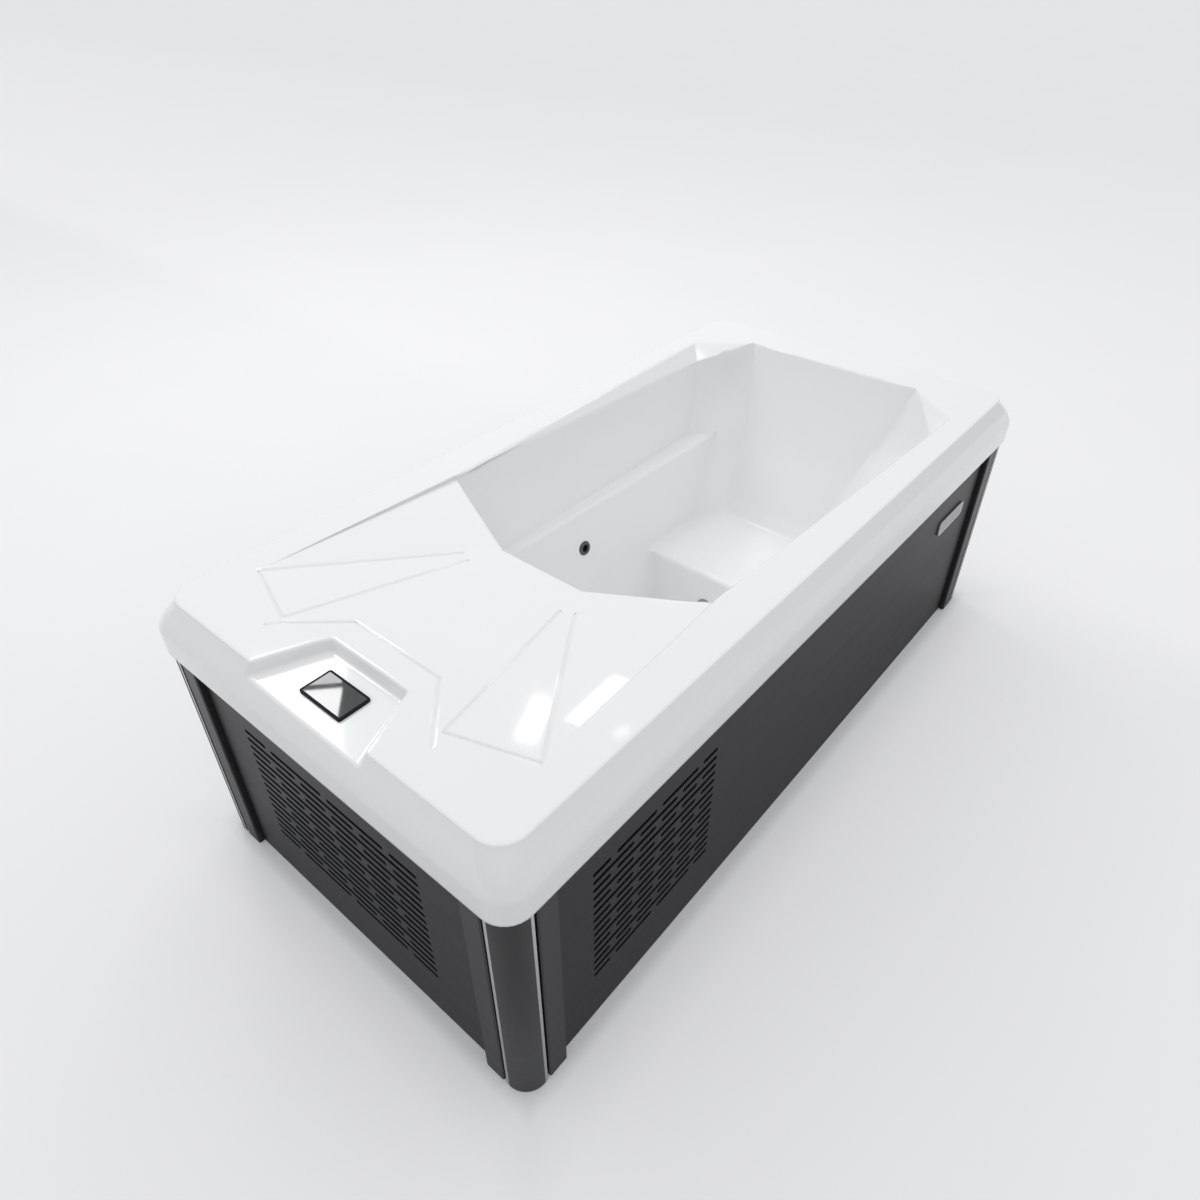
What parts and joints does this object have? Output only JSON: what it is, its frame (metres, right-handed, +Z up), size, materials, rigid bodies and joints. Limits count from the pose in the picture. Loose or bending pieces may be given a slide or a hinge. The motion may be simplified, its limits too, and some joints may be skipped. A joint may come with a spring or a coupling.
{
  "type": "cold plunge tub",
  "caption": "Long one-person cold plunge tub: faceted white acrylic shell with deck, ledges and seat on a dark skirted frame, chiller and pump under the deck.",
  "frame": {"origin": "on the floor under the middle of the tub", "axes": "+X to the seat end, -X to the control end, -Y to the vented front side, +Z up"},
  "size_m": [2.134, 1.067, 0.737],
  "materials": {
    "white_acrylic": "polished acrylic",
    "charcoal_panel": "satin charcoal",
    "satin_aluminium": "satin",
    "black_plastic": "moulded",
    "black_glass": "polished",
    "grey_plastic": "moulded",
    "white_pipe": "extruded",
    "red_lever": "moulded",
    "copper_tube": "drawn copper",
    "plain_steel": "plain",
    "black_paint": "satin paint",
    "support_foam": "cut foam"
  },
  "bodies": {
    "tub": {"badge_plate": "satin_aluminium", "base_pan": "black_plastic", "compressor": "black_paint", "condenser_coil": "satin_aluminium", "control_box": "grey_plastic", "control_end_panel": "charcoal_panel", "corner_cover_control_front": "charcoal_panel", "corner_cover_control_rear": "charcoal_panel", "corner_cover_seat_front": "charcoal_panel", "corner_cover_seat_rear": "charcoal_panel", "corner_post_control_front": "satin_aluminium", "corner_post_control_rear": "satin_aluminium", "corner_post_seat_front": "satin_aluminium", "corner_post_seat_rear": "satin_aluminium", "end_stile_control_front": "charcoal_panel", "end_stile_control_rear": "charcoal_panel", "end_stile_seat_front": "charcoal_panel", "end_stile_seat_rear": "charcoal_panel", "fan_motor": "black_paint", "fan_shroud": "black_paint", "filter_canister": "black_plastic", "filter_cartridge": "white_pipe", "filter_pipe": "white_pipe", "footwell_support": "support_foam", "front_panel": "charcoal_panel", "heat_exchanger": "plain_steel", "hot_gas_line": "copper_tube", "liquid_line": "copper_tube", "pump_motor": "plain_steel", "pump_pipe": "white_pipe", "pump_wet_end": "black_plastic", "rear_panel": "charcoal_panel", "return_jet_body": "grey_plastic", "return_jet_nut": "grey_plastic", "return_pipe": "white_pipe", "seat_end_panel": "charcoal_panel", "seat_support": "support_foam", "side_stile_control_front": "charcoal_panel", "side_stile_control_rear": "charcoal_panel", "side_stile_seat_front": "charcoal_panel", "side_stile_seat_rear": "charcoal_panel", "suction_body": "grey_plastic", "suction_cover": "black_plastic", "suction_pipe": "white_pipe", "top_rail_control_end": "plain_steel", "top_rail_front": "plain_steel", "top_rail_rear": "plain_steel", "top_rail_seat_end": "plain_steel", "touch_glass": "black_glass", "touch_housing": "black_plastic", "tub_shell": "white_acrylic", "valve_body": "white_pipe", "vapour_line": "copper_tube"},
    "fan": {"fan_rotor": "black_plastic"},
    "jet_nozzle": {"return_jet_nozzle": "black_plastic"},
    "valve_lever": {"valve_handle": "red_lever"},
    "filter_top": {"filter_lid": "grey_plastic"}
  },
  "joints": [
    {"name": "fan_spin", "type": "hinge", "parent": "tub", "child": "fan", "pos_m": [-0.94, 0, 0.27], "axis": [1, 0, 0], "continuous": true},
    {"name": "nozzle_swivel", "type": "hinge", "parent": "tub", "child": "jet_nozzle", "pos_m": [0.03828, 0.27869, 0.38078], "axis": [0.0072, 0.1761, 0.9844], "range_deg": [-15, 15]},
    {"name": "valve_turn", "type": "hinge", "parent": "tub", "child": "valve_lever", "pos_m": [-0.4707, -0.3, 0.173], "axis": [0, 0, 1], "range_deg": [0, 90]},
    {"name": "filter_lid_turn", "type": "hinge", "parent": "tub", "child": "filter_top", "pos_m": [-0.56, 0.02, 0.34], "axis": [0, 0, 1], "range_deg": [0, 60]}
  ]
}
